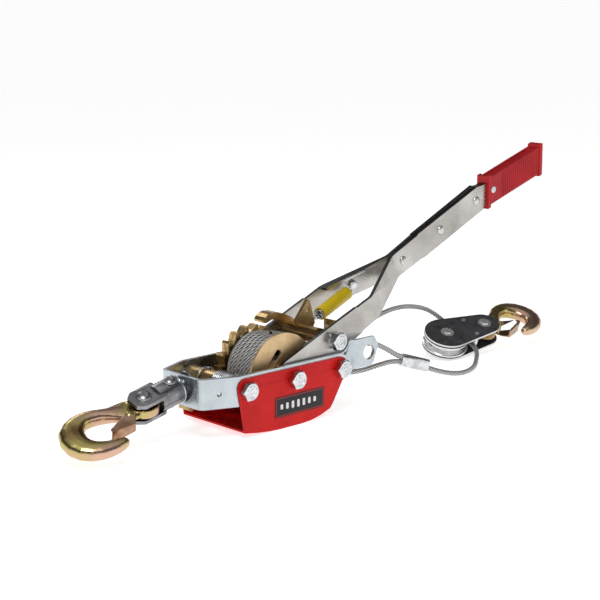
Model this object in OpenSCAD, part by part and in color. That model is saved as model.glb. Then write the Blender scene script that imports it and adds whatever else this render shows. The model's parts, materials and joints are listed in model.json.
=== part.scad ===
// Come-along winch: a hand ratchet puller with wire rope, drum, swing handle, swivel hook
// and a loose pulley block with its own hook. Millimetres, +Z up.
// The origin lies on the ground below the drum axle; +X points to the handle grip.

/* [Frame] */
// Height of the folded frame strap
strap_h = 30; // [28:0.5:32]
// Thickness of the frame strap
strap_t = 4; // [3:0.5:4]
// Outside width of the frame beside the drum
frame_w = 88.8; // [88:0.2:92]
// Outside width of the frame nose
nose_w = 58; // [50:1:60]
// Height of the drum axle above the ground
axle_z = 47; // [46.5:0.1:48]
// Spacing between neighbouring frame bolts
bolt_pitch = 63; // [62:0.5:64]
// Distance from the drum axle to the outside of the nose
nose_x = 107.6; // [104:0.2:110]
// Diameter of the free hole in each rear ear
ear_hole_d = 15.5; // [12:0.5:17]

/* [Guard] */
// Sheet thickness of the drum guard
guard_t = 2; // [1.5:0.5:2]
// Length of the label plate
label_w = 66; // [50:1:70]
// Height of the label plate
label_h = 20.5; // [14:0.5:21]

/* [Drum] */
// Radius of the near drum flange
flange_r = 43; // [40:0.5:43]
// Outside radius of the wound rope
wound_r = 36.5; // [30:0.5:36.5]
// Number of ratchet teeth
teeth = 20; // [12:4:24]
// Tip radius of the ratchet teeth
tip_r = 44; // [42:0.5:44]
// Diameter of the wire rope
rope_d = 5; // [4:0.5:5]

/* [Handle] */
// Rest angle of the handle above the horizontal
handle_tilt = 24; // [24:0.5:30]
// Plate thickness of the handle arms
arm_t = 4; // [3:0.5:4]
// Length of the red grip
grip_len = 104; // [80:1:120]

/* [Swivel] */
// Downward droop of the swivel clevis
droop = 13; // [10:0.5:14]
// Roll of the swivel clevis about its own axis
roll = 20; // [0:1:25]
// Outside radius of the clevis barrel
barrel_r = 14; // [12:0.5:14]

/* [Pulley block] */
// Distance between the sheave axle and the block hook pin
block_cc = 52.8; // [50:0.2:60]
// Radius of the sheave
sheave_r = 26.3; // [24:0.1:27]

/* [Hidden] */
$fn = 48;
eps = 0.05;
half_w = frame_w / 2;
in_w = half_w - strap_t;
strap_lo = axle_z - strap_h / 2;
strap_hi = axle_z + strap_h / 2;
bolt_r = 5;
spacer_r = 9;
axle_r = 6;
bx = bolt_pitch;
guard_y = half_w + guard_t;
ear_lift = 11.5;
ear_out = 4;
arm_y = 36.5;
bar_y = 3;
bend_1 = 131;
bend_2 = 202;
arm_end = 410;
pawl_u = 67.7;
pawl_x = pawl_u * cos(handle_tilt);
pawl_z = axle_z + pawl_u * sin(handle_tilt);
rope_r = rope_d / 2;
tooth_r = tip_r - 6.5;
neck_r = 9;
neck_up = 3.2;
drum_lo = -25;
drum_hi = 17;

zinc = [0.78, 0.81, 0.85];
steel = [0.70, 0.69, 0.67];
gold = [0.74, 0.60, 0.36];
red = [0.78, 0.06, 0.07];
dark = [0.22, 0.22, 0.24];
chromate = [0.72, 0.62, 0.42];

// ---------- plane geometry helpers ----------
function unit(v) = v / norm(v);
function last(p) = len(p) - 1;
function reversed(p) = [for (i = [last(p) : -1 : 0]) p[i]];
function flip_y(p) = [for (q = p) [q[0], -q[1]]];

// Points of a rounded corner of radius r at b between a and c.
function corner(a, b, c, r, n) =
    let (u = unit(a - b), v = unit(c - b), half = acos(u * v) / 2, m = b + unit(u + v) * r / sin(half),
         s = b + u * r / tan(half) - m, e = b + v * r / tan(half) - m, turn = 180 - 2 * half)
    [for (i = [0 : n]) m + (s * sin(turn * (1 - i / n)) + e * sin(turn * i / n)) / sin(turn)];

// Line p with every inner corner rounded to radius r.
function rounded(p, r, n) =
    concat([p[0]], [for (i = [1 : last(p) - 1]) for (q = corner(p[i - 1], p[i], p[i + 1], r, n)) q], [p[last(p)]]);

// Closed outline with every corner rounded to radius r.
function rounded_loop(p, r, n) =
    [for (i = [0 : last(p)])
        for (q = corner(p[(i + last(p)) % len(p)], p[i], p[(i + 1) % len(p)], r, n)) q];

function step_dir(p, i) = unit(p[min(i + 1, last(p))] - p[min(i, last(p) - 1)]);
function back_dir(p, i) = unit(p[max(i, 1)] - p[max(i - 1, 0)]);
function bisect(p, i) = step_dir(p, i) + back_dir(p, i);
function beside(p, i, d) = p[i] + d * 2 / norm(bisect(p, i)) * [-unit(bisect(p, i))[1], unit(bisect(p, i))[0]];
function parallel(p, d) = [for (i = [0 : last(p)]) beside(p, i, d)];

// Outline of a strip of thickness t laid along the line p.
function strip(p, t) = concat(parallel(p, t / 2), reversed(parallel(p, -t / 2)));

// ---------- solid helpers ----------
// Plate with its outline in the XZ plane, between y0 and y1.
module plate_xz(outline, y0, y1) {
    translate([0, y1, 0])
        rotate([90, 0, 0])
            linear_extrude(y1 - y0)
                polygon(outline);
}

// Round bar along Y between y0 and y1.
module bar_y(x, z, r, y0, y1) {
    translate([x, y1, z])
        rotate([90, 0, 0])
            cylinder(r = r, h = y1 - y0);
}

// Tube along Y between y0 and y1.
module tube_y(x, z, r, bore, y0, y1) {
    difference() {
        bar_y(x, z, r, y0, y1);
        bar_y(x, z, bore, y0 - 1, y1 + 1);
    }
}

// Chamfered hexagon along Z from 0 to h.
// Hexagon whose outer corners are turned off by a steep cone.
corner_cut = 1.45;
module hexagon(af, h) {
    intersection() {
        cylinder(r = af / 2 / cos(30), h = h, $fn = 6);
        cylinder(r1 = af / 2 - 0.4 + corner_cut * h, r2 = af / 2 - 0.4, h = h);
    }
}

// Hex bolt along +Y: head outside y_head, shank to y_end, flange disc under the head.
module hex_bolt(x, z, r, y_head, y_end, af, head_h, flat_r, flat_t) {
    translate([x, y_head, z])
        rotate([90, 0, 0]) {
            cylinder(r = flat_r, h = flat_t);
            translate([0, 0, flat_t])
                hexagon(af, head_h);
        }
    bar_y(x, z, r, y_head, y_end);
}

// Hex nut with its washer, seated on y_seat and facing +Y.
module hex_nut(x, z, r, y_seat, af, nut_h, flat_r, flat_t) {
    difference() {
        translate([x, y_seat, z])
            rotate([-90, 0, 0]) {
                cylinder(r = flat_r, h = flat_t);
                translate([0, 0, flat_t])
                    hexagon(af, nut_h);
            }
        bar_y(x, z, r + eps, y_seat - 1, y_seat + 20);
    }
}

// ---------- frame ----------
strap_line = [[114, half_w + ear_out - strap_t / 2], [83.6, half_w + ear_out - strap_t / 2],
              [79.6, half_w - strap_t / 2], [-70, half_w - strap_t / 2],
              [2 - nose_x, nose_w / 2 - 1], [2 - nose_x, 0]];
strap_side = concat([[114, half_w + ear_out - strap_t / 2]],
                    corner(strap_line[0], strap_line[1], strap_line[2], 2.6, 3),
                    corner(strap_line[1], strap_line[2], strap_line[3], 2.6, 3),
                    corner(strap_line[2], strap_line[3], strap_line[4], 14, 4),
                    corner(strap_line[3], strap_line[4], strap_line[5], 7, 6));
strap_path = concat(strap_side, reversed(flip_y(strap_side)));

ear_lo = strap_lo + ear_lift;
ear_hi = strap_hi + ear_lift;
strap_face = [[-nose_x - 2, strap_lo], [64, strap_lo], [71, strap_lo + 3], [80, ear_lo - 1.2], [84, ear_lo],
              [100.5, ear_lo], [104.5, ear_lo + 0.6], [108, ear_lo + 3], [113.5, ear_lo + 17.5],
              [113.8, ear_lo + 20], [113, ear_lo + 22.5], [108.6, ear_hi], [77.5, ear_hi], [75.6, ear_hi - 1.4],
              [74.4, ear_hi - 5], [71.5, strap_hi + 3.6], [68, strap_hi + 1], [64, strap_hi],
              [-nose_x - 2, strap_hi]];

module frame() {
    color(zinc)
        difference() {
            intersection() {
                linear_extrude(100)
                    polygon(strip(strap_path, strap_t));
                plate_xz(strap_face, -60, 60);
            }
            for (x = [-bx, bx])
                bar_y(x, axle_z, bolt_r + 0.1, -60, 60);
            bar_y(0, axle_z, axle_r + 0.1, -60, 60);
            bar_y(100.7, ear_lo + 14.5, ear_hole_d / 2, -60, 60);
            bar_y(70.5, strap_hi - 1.2, 1.6, -60, 60);
            translate([-89.5, -35.4, axle_z - 0.5])
                rotate([90, 0, -24])
                    cylinder(r = 2.4, h = 16, center = true);
            swivel_place()
                translate([-20, 0, 0])
                    rotate([0, 90, 0])
                        cylinder(r = neck_r + 0.4, h = 40);
        }
}

// ---------- guard ----------
guard_low = [[-66.6, 4.9], [-50, 2.3], [-35, 0.7], [-20, 0], [8, 0], [22, 1], [35, 3.7], [47.5, 8.2]];
guard_side = concat(guard_low, [[51.4, 12.6], [66.4, 36.4], [70.2, 42], [72, 47], [71.6, 52], [69.4, 56], [65.4, 58.3],
                    [61, 59], [-64, 59], [-69, 58], [-72.6, 55], [-74.2, 50.4], [-73.9, 45.6]]);
guard_pan = concat(guard_low, reversed([for (p = guard_low) p + [0, guard_t]]));

module guard() {
    color(red)
        difference() {
            union() {
                plate_xz(guard_side, half_w, guard_y);
                plate_xz(guard_side, -guard_y, -half_w);
                plate_xz(guard_pan, -half_w - eps, half_w + eps);
            }
            for (x = [-bx, bx])
                bar_y(x, axle_z, bolt_r + 0.1, -60, 60);
            bar_y(0, axle_z, axle_r + 0.1, -60, 60);
        }
}

label_x = 5.3;
label_z = 22.5;
label_edge = rounded_loop([[label_x - label_w / 2, label_z - label_h / 2], [label_x + label_w / 2, label_z - label_h / 2],
                           [label_x + label_w / 2, label_z + label_h / 2], [label_x - label_w / 2, label_z + label_h / 2]], 1, 3);

module label_plate() {
    color([0.05, 0.05, 0.05])
        plate_xz(label_edge, -guard_y - 0.4, -guard_y);
}

// ---------- frame bolts ----------
head_y = -guard_y;
module front_bolt() { color(zinc) hex_bolt(-bx, axle_z, bolt_r, head_y, guard_y + 11, 17, 6.4, 8.4, 0.6); }
module axle_bolt() { color(zinc) hex_bolt(0, axle_z, axle_r, head_y, guard_y + 12, 17, 6.4, 8.4, 0.6); }
module rear_bolt() { color(zinc) hex_bolt(bx, axle_z, bolt_r, head_y, guard_y + 11, 17, 6.4, 8.4, 0.6); }
module front_nut() { color(zinc) hex_nut(-bx, axle_z, bolt_r, guard_y, 17, 8, 9.5, 1.2); }
module axle_nut() { color(zinc) hex_nut(0, axle_z, axle_r, guard_y, 18, 8.5, 10.5, 1.2); }
module rear_nut() { color(zinc) hex_nut(bx, axle_z, bolt_r, guard_y, 17, 8, 9.5, 1.2); }
module front_spacer() { color(zinc) tube_y(-bx, axle_z, 8, bolt_r + 0.1, 1.2 - in_w, in_w - 1.2); }
module rear_spacer() { color(zinc) tube_y(bx, axle_z, spacer_r, bolt_r + 0.1, -in_w, in_w); }

// ---------- drum ----------
module drum() {
    color(gold)
        difference() {
            union() {
                bar_y(0, axle_z, 18, drum_lo, 31);
                bar_y(0, axle_z, flange_r, -27.5, drum_lo);
                bar_y(0, axle_z, 13, -34.1, -27.5);
                bar_y(0, axle_z, 11, 30.9, 34.1);
            }
            bar_y(0, axle_z, axle_r + 0.06, -60, 60);
            // oval rope hole in the flange
            for (k = [-1 : 0.5 : 1])
                bar_y(-10 + 4 * k, axle_z + 18.8 + 4.7 * k, 3.8, -30, -24);
        }
}

// Ratchet plate: steep tooth faces hold the load, sloping backs let the pawls click over.
function tooth(i) =
    let (p = 360 / teeth, a = i * p)
    [tip_r * [cos(a), sin(a)], (tip_r - 0.4) * [cos(a + 0.24 * p), sin(a + 0.24 * p)],
     (tooth_r + 1.6) * [cos(a + 0.62 * p), sin(a + 0.62 * p)], tooth_r * [cos(a + 0.86 * p), sin(a + 0.86 * p)],
     tooth_r * [cos(a + 0.97 * p), sin(a + 0.97 * p)]];
ratchet_edge = [for (i = [0 : teeth - 1]) for (q = tooth(i)) q];
ratchet_turn = 7.2;

module ratchet_plate(y0, y1) {
    color(gold)
        difference() {
            translate([0, y1, axle_z])
                rotate([90, 0, 0])
                    rotate([0, 0, ratchet_turn])
                        linear_extrude(y1 - y0)
                            polygon(ratchet_edge);
            bar_y(0, axle_z, 18 + 0.02, y0 - 1, y1 + 1);
        }
}
module ratchet_inner() { ratchet_plate(drum_hi, drum_hi + 5); }
module ratchet_outer() { ratchet_plate(drum_hi + 5.4, drum_hi + 10.4); }

// Wound rope: eight laid turns on the drum barrel.
wraps = 8;
wrap_w = (drum_hi - drum_lo - 0.2) / wraps;
module wound_rope() {
    color([0.62, 0.63, 0.65])
        translate([0, drum_lo + 0.1, axle_z])
            rotate([-90, 0, 0])
                difference() {
                    union() {
                        cylinder(r = wound_r - 1.2, h = wraps * wrap_w);
                        for (i = [0 : wraps - 1])
                            translate([0, 0, (i + 0.5) * wrap_w])
                                rotate_extrude()
                                    translate([wound_r - rope_r, 0])
                                        circle(r = rope_r, $fn = 24);
                    }
                    translate([0, 0, -1])
                        cylinder(r = 18.05, h = 60);
                }
}

// ---------- holding pawl ----------
hold_nose = [[-70, 43], [-67, 36.4], [-58, 31.8], [-47, 28.6], [-40.4, 29.6], [-38.6, 32.6], [-40.6, 35.4],
             [-48, 38], [-55, 43], [-60, 50]];
hold_tail = [[-66, 39.5], [-72, 43.5], [-90, 34.8], [-101, 28.8], [-101.6, 26], [-98, 24.4], [-80, 29.6], [-66, 37]];

// The nose rests just clear of the tooth tips; it drops into the teeth by hold_lift degrees.
hold_lift = 8.6;
hold_barrel_r = 10.3;
module holding_pawl() {
    color(gold)
        difference() {
            union() {
                bar_y(-bx, axle_z, hold_barrel_r, -31, 38.5);
                plate_xz(hold_tail, -4, 11);
                translate([-bx, 0, axle_z])
                    rotate([0, hold_lift, 0])
                        translate([bx, 0, -axle_z])
                            plate_xz(hold_nose, 17, 27.4);
            }
            bar_y(-bx, axle_z, 8.1, -60, 60);
        }
}

module holding_spring() {
    color(zinc)
        for (y = [[-30, -4.4], [11.6, 16.6]])
            for (k = [0 : floor((y[1] - y[0]) / 2.4) - 1])
                translate([-bx, y[0] + 1.2 + 2.4 * k, axle_z])
                    rotate([90, 0, 0])
                        rotate_extrude()
                            translate([11.55, 0])
                                circle(r = 1.2, $fn = 16);
}

// ---------- handle ----------
// The handle is drawn along u with v across it, then tilted about the drum axle.
module on_handle() {
    translate([0, 0, axle_z])
        rotate([0, -handle_tilt, 0])
            children();
}

arm_line = [[-24, -arm_y], [bend_1, -arm_y], [bend_2, -bar_y], [arm_end, -bar_y]];
arm_path = rounded(arm_line, 16, 6);
arm_tail = [for (a = [90 : 15 : 270]) 18 * [cos(a), sin(a)]];
tang = [[352, -13.6], [404, -13], [404, 2], [358, 11], [354, 12.4]];
function arm_face(end) =
    concat(arm_tail, [[60, -15.4], [104, -14.2], [105.5, -13], [bend_1, -12.6], [bend_2, -12.4], [243, -13.6], [244.4, -14.6],
                   [350, -15]], end, [[350, 13.4], [246, 14.2], [244.6, 13.2], [bend_2, 13], [bend_1, 12.6], [109, 13.4],
                   [107.6, 14.4], [60, 16.4]]);
lip_w = 8;
lip_y = arm_y - arm_t / 2;
lip_end = bar_y - arm_t / 2;
lip_plan = [[bend_1, -lip_y - eps], [bend_2 - 3, -lip_end - eps - 1.4], [bend_2 - 3, -lip_end - 1],
            [bend_2 - 30, -lip_end - 9], [bend_1 + 1.6, -lip_y + lip_w]];

module arm_blank(lip_from, side) {
    difference() {
        union() {
            intersection() {
                translate([0, 0, -30])
                    linear_extrude(60)
                        polygon(strip(arm_path, arm_t));
                plate_xz(arm_face(side > 0 ? tang : reversed(flip_y(tang))), -60, 60);
            }
            translate([0, 0, -12.6])
                linear_extrude(3)
                    polygon(concat([[lip_from, -lip_y + lip_w], [lip_from, -lip_y - eps]], lip_plan));
        }
        bar_y(0, 0, axle_r + 0.06, -60, 60);
        bar_y(pawl_u, 0, bolt_r + 0.1, -60, 60);
        for (u = rivet_u)
            bar_y(u, 0, 3.05, -60, 60);
        bar_y(grip_rivet_u, -side, 3.05, -60, 60);
    }
}
rivet_u = [215, 279.5, 343.5];
grip_rivet_u = 371.4;

module handle_arm_near() {
    color(steel)
        on_handle()
            arm_blank(106, 1);
}
module handle_arm_far() {
    color(steel)
        on_handle()
            difference() {
                rotate([180, 0, 0])
                    arm_blank(129, -1);
                at_anchor()
                    cylinder(r = 2.6, h = 40, center = true);
            }
}

// Round-headed rivet across the handle at station u.
module cross_rivet(u, v, face, head_r, head_h) {
    on_handle() {
        bar_y(u, v, 3, -face, face);
        for (s = [-1, 1])
            translate([u, s * face, v])
                rotate([s * -90, 0, 0]) {
                    cylinder(r1 = head_r, r2 = head_r * 0.82, h = head_h * 0.6);
                    translate([0, 0, head_h * 0.6])
                        cylinder(r1 = head_r * 0.82, r2 = head_r * 0.4, h = head_h * 0.4);
                }
    }
}
bar_face = bar_y + arm_t / 2;
module handle_rivet_1() { color(steel) cross_rivet(rivet_u[0], 0, bar_face, 5, 2.6); }
module handle_rivet_2() { color(steel) cross_rivet(rivet_u[1], 0, bar_face, 5, 2.6); }
module handle_rivet_3() { color(steel) cross_rivet(rivet_u[2], 0, bar_face, 5, 2.6); }

// The grip leans a little below the arms; its end faces stand upright at rest.
grip_at = [362, 0.4];
grip_lean = 6.4;
grip_y = 8;
grip_h = 31.4;
rib_pitch = 3.4;
rib_w = 1.7;
function grip_box(a, b, h, low) =
    let (k = tan(handle_tilt - grip_lean), c = cos(handle_tilt), w = sin(handle_tilt))
    [for (q = [[a, k * a - h / 2 - low], [b, k * b - h / 2 - low], [b, k * b + h / 2], [a, k * a + h / 2]])
        grip_at + [q[0] * c + q[1] * w, q[1] * c - q[0] * w]];
module grip() {
    color(red)
        on_handle()
            difference() {
                union() {
                    plate_xz(grip_box(1, grip_len * 0.9, grip_h, 0), -grip_y, grip_y);
                    plate_xz(grip_box(0, 4.4, grip_h + 5, 0.6), -grip_y - 0.8, grip_y + 0.8);
                    plate_xz(grip_box(grip_len * 0.9 - 5, grip_len * 0.9, grip_h + 5, 0), -grip_y - 1, grip_y + 1);
                    for (i = [0 : 18])
                        plate_xz(grip_box(23 + rib_pitch * i, 23 + rib_pitch * i + rib_w, grip_h - 3, 0),
                                 -grip_y - 0.6, grip_y + 0.6);
                }
                // pockets for the two bars
                for (s = [-1, 1])
                    plate_xz(concat([[348, -15.1]], [for (q = tang) q + [0.3, sign(q[1]) * 0.06]], [[348, 15.1]]),
                             s * bar_y - arm_t / 2 - 0.02, s * bar_y + arm_t / 2 + 0.02);
                // channel along the top
                plate_xz([for (q = grip_box(7, grip_len * 0.9 - 8, 5, 0)) q + [0, grip_h / 2 + 0.6]], -5.4, 5.4);
                bar_y(grip_rivet_u, -1, 3.05, -60, 60);
            }
}
module grip_rivet() { color(zinc) cross_rivet(grip_rivet_u, -1, grip_y, 4.2, 1); }

// ---------- drive pawl ----------
pawl_nose = [[62, 82.6], [58, 87.5], [50, 92.4], [41, 96.8], [33, 99.4], [25, 100.2], [19.6, 99], [15.6, 96.4],
             [13.4, 93.2], [13.8, 91], [17, 90.6], [20, 91.6], [24, 93], [31, 92.2], [39, 89], [47, 84], [53, 78]];
pawl_ridge = [[69.5, 77.2], [66, 81.6], [61, 84], [53, 86.6], [48, 88], [45.6, 86], [46.6, 83.4], [52, 80], [55, 76]];
thumb_lever = [[40.5, 91.5], [43, 87], [64, 81.5], [67.4, 86.5], [59.6, 111.6], [57.4, 112]];

module drive_pawl() {
    color(gold)
        difference() {
            union() {
                bar_y(pawl_x, pawl_z, 8, -34, 33.9);
                plate_xz(pawl_nose, 14.6, 29.6);
                plate_xz(pawl_ridge, -28, 14.7);
                plate_xz(thumb_lever, -3.5, 0.5);
            }
            bar_y(pawl_x, pawl_z, bolt_r + 0.06, -60, 60);
            // slot in the thumb lever
            translate([57.4, 0, 101])
                rotate([90, 0, 0])
                    cylinder(r = 2.2, h = 20, center = true);
            // hollow underside of the nose between its two cheeks
            plate_xz([[17.4, 84], [17.4, 92.6], [22.6, 96.4], [31, 95.6], [42, 91], [50, 85.2], [50, 82], [42, 78]],
                     18.4, 25.8);
        }
}
module pawl_bolt() { color(zinc) hex_bolt(pawl_x, pawl_z, bolt_r, -arm_y - arm_t / 2, 49, 17, 6.4, 8.6, 2.6); }
module pawl_nut() { color(zinc) hex_nut(pawl_x, pawl_z, bolt_r, arm_y + arm_t / 2, 17, 7, 8.6, 0.6); }

// Zinc bracket bent inwards from the near arm behind the drive pawl.
module pawl_stop() {
    color(zinc) {
        translate([75, -34.4, 77])
            cube([2.5, 26, 13.4]);
        translate([75, -34.4, 77])
            cube([13, 2.4, 13.4]);
    }
}

// Tension spring from the pawl lug to the anchor screw on the far arm.
spring_lo = [74, 2, 90.6];
spring_hi = [142, 17, 108.2];
spring_len = norm(spring_hi - spring_lo);
spring_yaw = atan2(spring_hi[1] - spring_lo[1], spring_hi[0] - spring_lo[0]);
spring_pitch = asin((spring_hi[2] - spring_lo[2]) / spring_len);
module on_spring() {
    translate(spring_lo)
        rotate([0, -spring_pitch, spring_yaw])
            children();
}
module tension_spring() {
    color(zinc)
        on_spring() {
            translate([5, 0, 0])
                rotate([0, 90, 0])
                    cylinder(r = 5, h = spring_len - 12);
            translate([-3, 0, 0])
                rotate([0, 90, 0])
                    cylinder(r = 0.9, h = 9);
            translate([spring_len - 8, 0, 0])
                rotate([0, 90, 0])
                    cylinder(r = 0.9, h = 7);
        }
}
module spring_sleeve() {
    color([0.87, 0.72, 0.02])
        on_spring()
            translate([7, 0, 0])
                rotate([0, 90, 0])
                    difference() {
                        cylinder(r = 7, h = 53);
                        translate([0, 0, -1])
                            cylinder(r = 5.4, h = 55);
                    }
}
module at_anchor() {
    translate([160.6, 22.6, 0])
        rotate([90, 0, -25.3])
            children();
}
module spring_anchor() {
    color(zinc)
        on_handle()
            at_anchor() {
                translate([0, 0, -6])
                    cylinder(r = 2.5, h = 12.2);
                translate([0, 0, 2.4])
                    hexagon(8, 3.4);
            }
}

// ---------- swivel clevis and front hook ----------
module swivel_place() {
    translate([-nose_x - 0.5, 0, axle_z + neck_up])
        rotate([-roll, droop, 180])
            children();
}
pin_s = 45.3;
eye_t = 4.6;
tongue_in = 7.2;
tongue_out = 11.2;
tongue_plan = rounded_loop([[26, -12.8], [52.6, -12.6], [60, -7], [60, 7], [52.6, 12.6], [26, 12.8]], 2.4, 4);

module half_shell() {
    difference() {
        union() {
            intersection() {
                union() {
                    translate([5.9, 0, 0])
                        rotate([0, 90, 0])
                            cylinder(r = barrel_r, h = 25.6);
                    translate([-10, 0, 0])
                        rotate([0, 90, 0])
                            cylinder(r = neck_r, h = 16);
                    translate([-10.6, 0, 0])
                        rotate([0, 90, 0])
                            cylinder(r = 12.4, h = 2.6);
                }
                translate([-20, -20, 0.35])
                    cube([60, 40, 20]);
            }
            translate([0, 0, tongue_in])
                linear_extrude(tongue_out - tongue_in)
                    polygon(tongue_plan);
        }
        translate([-20, 0, 0])
            rotate([0, 90, 0])
                cylinder(r = 6.6, h = 26);
        translate([6.5, 0, 0])
            rotate([0, 90, 0])
                cylinder(r = 10.4, h = 22.6);
        translate([pin_s, 0, 0])
            cylinder(r = 5.1, h = 30);
        translate([13.6, 0, 0])
            cylinder(r = 3.1, h = 30);
        // room for the hook eye
        translate([pin_s, 0, -1])
            cylinder(r = 16.6, h = tongue_in + 1);
    }
}
module clevis_upper() { color(dark) swivel_place() half_shell(); }
module clevis_lower() { color(dark) swivel_place() rotate([180, 0, 0]) half_shell(); }
module clevis_washer() {
    color(zinc)
        swivel_place()
            translate([4.4, 0, 0])
                rotate([0, 90, 0])
                    difference() {
                        cylinder(r = 14.8, h = 1.4);
                        translate([0, 0, -1])
                            cylinder(r = neck_r + 0.3, h = 4);
                    }
}

// Countersunk-looking round rivet along Z with a head on both ends.
module rivet_z(r, half, head_r, head_h) {
    translate([0, 0, -half])
        cylinder(r = r, h = 2 * half);
    for (s = [0, 180])
        rotate([s, 0, 0])
            translate([0, 0, half]) {
                cylinder(r1 = head_r, r2 = head_r * 0.86, h = head_h * 0.6);
                translate([0, 0, head_h * 0.6])
                    cylinder(r1 = head_r * 0.86, r2 = head_r * 0.5, h = head_h * 0.4);
            }
}
module clevis_rivet() { color(steel) swivel_place() translate([13.6, 0, 0]) rivet_z(3, barrel_r + 0.02, 6.2, 2.7); }
module hook_pin() { color(steel) swivel_place() translate([pin_s, 0, 0]) rivet_z(5, tongue_out, 7.4, 3.2); }

// Hook body: stations along the forging as [along, across, half width, half thickness].
hook_stations = [[8.2, -0.6, 12.5, 4.5], [14, -2, 13.2, 4.6], [20, -4, 13.4, 4.8], [27, -6.4, 11, 5.5],
                 [35, -9.2, 7.9, 6.4], [43, -12.9, 7, 7.1], [51, -16.2, 7.9, 7.4], [59, -17.3, 8.4, 7.7],
                 [66, -16.3, 9.5, 7.9], [72.7, -13.3, 11, 8], [79, -7.8, 12.6, 8], [82.6, -0.2, 13.2, 8],
                 [83.6, 7.4, 12.9, 7.9], [81.4, 15, 12, 7.7], [76.6, 21.2, 10.7, 7.4], [70, 25.6, 9.5, 7],
                 [63, 28, 8.3, 6.5], [56, 29.2, 7.3, 5.9], [49.6, 29.4, 6.2, 5.2], [45, 29.2, 4.6, 4.2],
                 [42.8, 29.1, 2, 2]];
function power(c, k) = sign(c) * pow(abs(c), k);
ring_n = 16;
function station_dir(s, i) = unit([s[min(i + 1, last(s))][0] - s[max(i - 1, 0)][0], s[min(i + 1, last(s))][1] - s[max(i - 1, 0)][1]]);
function station_ring(s, i) =
    let (d = station_dir(s, i))
    [for (k = [0 : ring_n - 1])
        let (a = 360 * k / ring_n, w = s[i][2] * power(cos(a), 0.8), h = s[i][3] * power(sin(a), 0.8))
        [s[i][0] - d[1] * w, s[i][1] + d[0] * w, h]];
hook_points = [for (i = [0 : last(hook_stations)]) for (p = station_ring(hook_stations, i)) p];

// Side facets and end caps of a tube of rings with n points each.
function tube_faces(rings, n) =
    concat([[for (k = [0 : n - 1]) k]],
           [for (i = [0 : rings - 2]) for (k = [0 : n - 1])
               [i * n + k, (i + 1) * n + k, (i + 1) * n + (k + 1) % n, i * n + (k + 1) % n]],
           [[for (k = [n - 1 : -1 : 0]) (rings - 1) * n + k]]);

module hook_body() {
    difference() {
        union() {
            translate([0, 0, -eye_t])
                cylinder(r = 15.2, h = 2 * eye_t);
            polyhedron(hook_points, tube_faces(len(hook_stations), ring_n), convexity = 6);
        }
        translate([0, 0, -20])
            cylinder(r = 5.8, h = 40);
        translate([latch_at[0], latch_at[1], -20])
            cylinder(r = 2.1, h = 40);
    }
}
latch_at = [24, 7.4];
latch_in = 5.8;
latch_t = 1.2;
latch_plan = [[19.8, 6.6], [22, 2.8], [51, 13.6], [52, 16.8], [28, 20.6], [21, 14.4]];
latch_web = [[27, 19.2], [50.4, 15.6], [52, 16.8], [51.2, 18], [28, 21.8], [26.6, 21]];
module latch_body() {
    difference() {
        union() {
            for (z = [latch_in, -latch_in - latch_t])
                translate([0, 0, z])
                    linear_extrude(latch_t)
                        polygon(latch_plan);
            translate([0, 0, -latch_in - latch_t])
                linear_extrude(2 * (latch_in + latch_t))
                    polygon(latch_web);
        }
        translate([latch_at[0], latch_at[1], -20])
            cylinder(r = 2.06, h = 40);
        // the web narrows towards the rivet
        plate_xz([[20, -1], [20, -20], [60, -20], [52.5, -latch_in - latch_t]], 12, 30);
    }
}
module latch_rivet() {
    translate([latch_at[0], latch_at[1], 0])
        rivet_z(2, latch_in + latch_t + 0.02, 3.6, 1.4);
}
module on_hook() { swivel_place() translate([pin_s, 0, 0]) children(); }
module front_hook() { color(chromate) on_hook() hook_body(); }
module front_latch() { color(chromate) on_hook() latch_body(); }
module front_latch_rivet() { color(chromate) on_hook() latch_rivet(); }

// ---------- pulley block ----------
block_at = [316.7, 38.5, 20.1];
// Resting attitude of the loose hook on its pin.
hook_lie = [178, 8.4, 18.6];
module on_block() {
    translate(block_at)
        rotate([23, -5.3, -13.4])
            children();
}
cheek_in = 7.75;
cheek_out = 10.25;
nose_r = 18;
cheek_lean = acos((sheave_r - nose_r) / block_cc);
cheek_plan = concat([for (a = [cheek_lean : 8 : 360 - cheek_lean]) sheave_r * [cos(a), sin(a)]],
                    [for (a = [-cheek_lean : 8 : cheek_lean]) [block_cc, 0] + nose_r * [cos(a), sin(a)]]);

module cheek(z) {
    difference() {
        translate([0, 0, z])
            linear_extrude(cheek_out - cheek_in)
                polygon(cheek_plan);
        for (x = [0, block_cc])
            translate([x, 0, -30])
                cylinder(r = 5.1, h = 60);
        for (y = [-14, 14])
            translate([32.2, y, -30])
                cylinder(r = 2.6, h = 60);
    }
}
module cheek_top() { color(dark) on_block() cheek(cheek_in); }
module cheek_bottom() { color(dark) on_block() cheek(-cheek_out); }

groove_r = 23.1;
module sheave() {
    color(zinc)
        on_block()
            rotate_extrude()
                difference() {
                    translate([5.06, -7.5])
                        square([sheave_r - 5.06, 15]);
                    translate([groove_r, 0])
                        circle(r = 2.9, $fn = 32);
                    polygon([[groove_r, -2.9], [groove_r, 2.9], [30, 6.2], [30, -6.2]]);
                    for (s = [-1, 1])
                        polygon([[9, s * 6.4], [9, s * 9], [30, s * 9], [30, s * 6.4]]);
                }
}
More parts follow.
